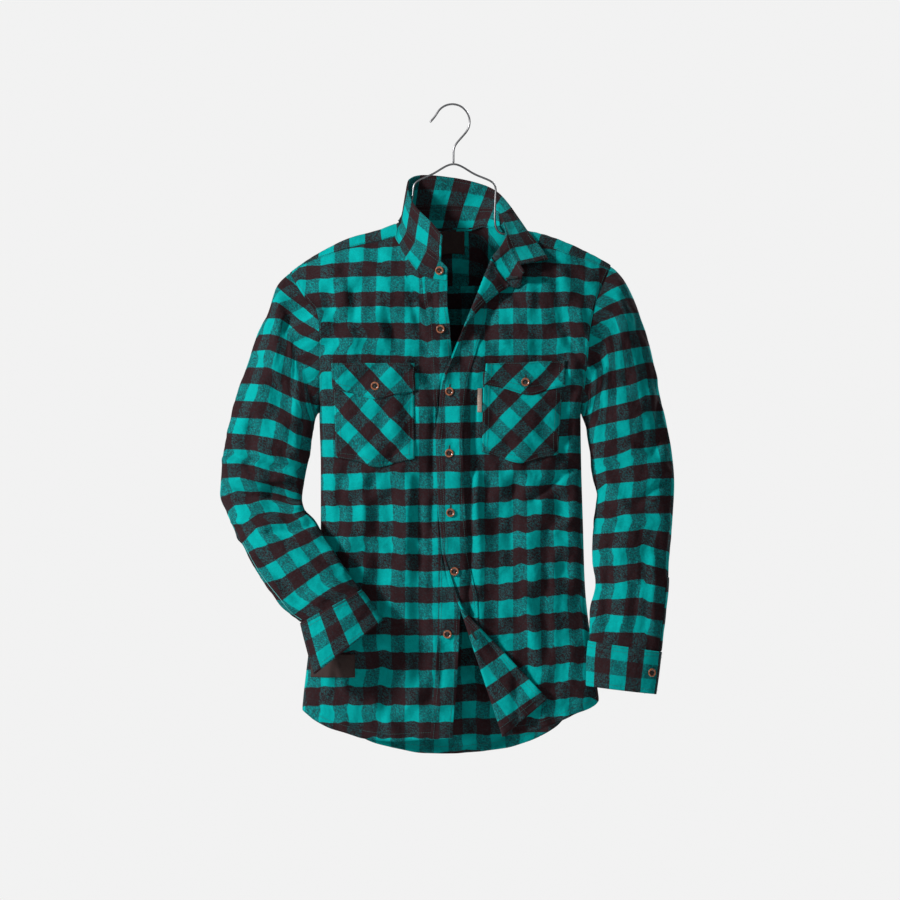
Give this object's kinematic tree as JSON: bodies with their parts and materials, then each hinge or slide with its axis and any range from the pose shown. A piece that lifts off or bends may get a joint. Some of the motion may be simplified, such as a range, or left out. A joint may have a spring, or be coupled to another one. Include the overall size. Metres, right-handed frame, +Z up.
{
  "type": "flannel shirt on a wire hanger",
  "caption": "Long-sleeved checked flannel shirt hung open at the neck on a steel wire hanger, with chest pockets, a popped collar and one sleeve bent in front.",
  "frame": {"origin": "inside top of the hanger's hook, where a rail carries it", "axes": "+Z up, -Y the way the shirt's front faces, +X towards the wearer's left"},
  "size_m": [0.6787, 0.143, 0.9776],
  "materials": {
    "flannel": "brushed cotton check",
    "label_weave": "woven, bare",
    "horn": "horn-look resin",
    "steel_wire": "bright wire"
  },
  "bodies": {
    "root": {"front_right": "flannel", "front_left": "flannel", "back": "flannel", "yoke": "flannel", "sleeve_right": "flannel", "sleeve_left": "flannel", "cuff_right": "flannel", "cuff_left": "flannel", "collar_stand": "flannel", "collar_leaf": "flannel", "button_band": "flannel", "placket_left": "flannel", "sleeve_placket_right": "flannel", "sleeve_placket_left": "flannel", "pocket_right": "flannel", "pocket_left": "flannel", "pocket_flap_right": "flannel", "pocket_flap_left": "flannel", "neck_label": "label_weave", "hem_label": "label_weave", "pocket_tab": "label_weave", "button_1": "horn", "button_2": "horn", "button_3": "horn", "button_4": "horn", "button_5": "horn", "button_6": "horn", "button_7": "horn", "pocket_button_right": "horn", "pocket_button_left": "horn", "cuff_button_left": "horn", "hanger_hook": "steel_wire", "hanger_arms": "steel_wire"}
  },
  "joints": []
}
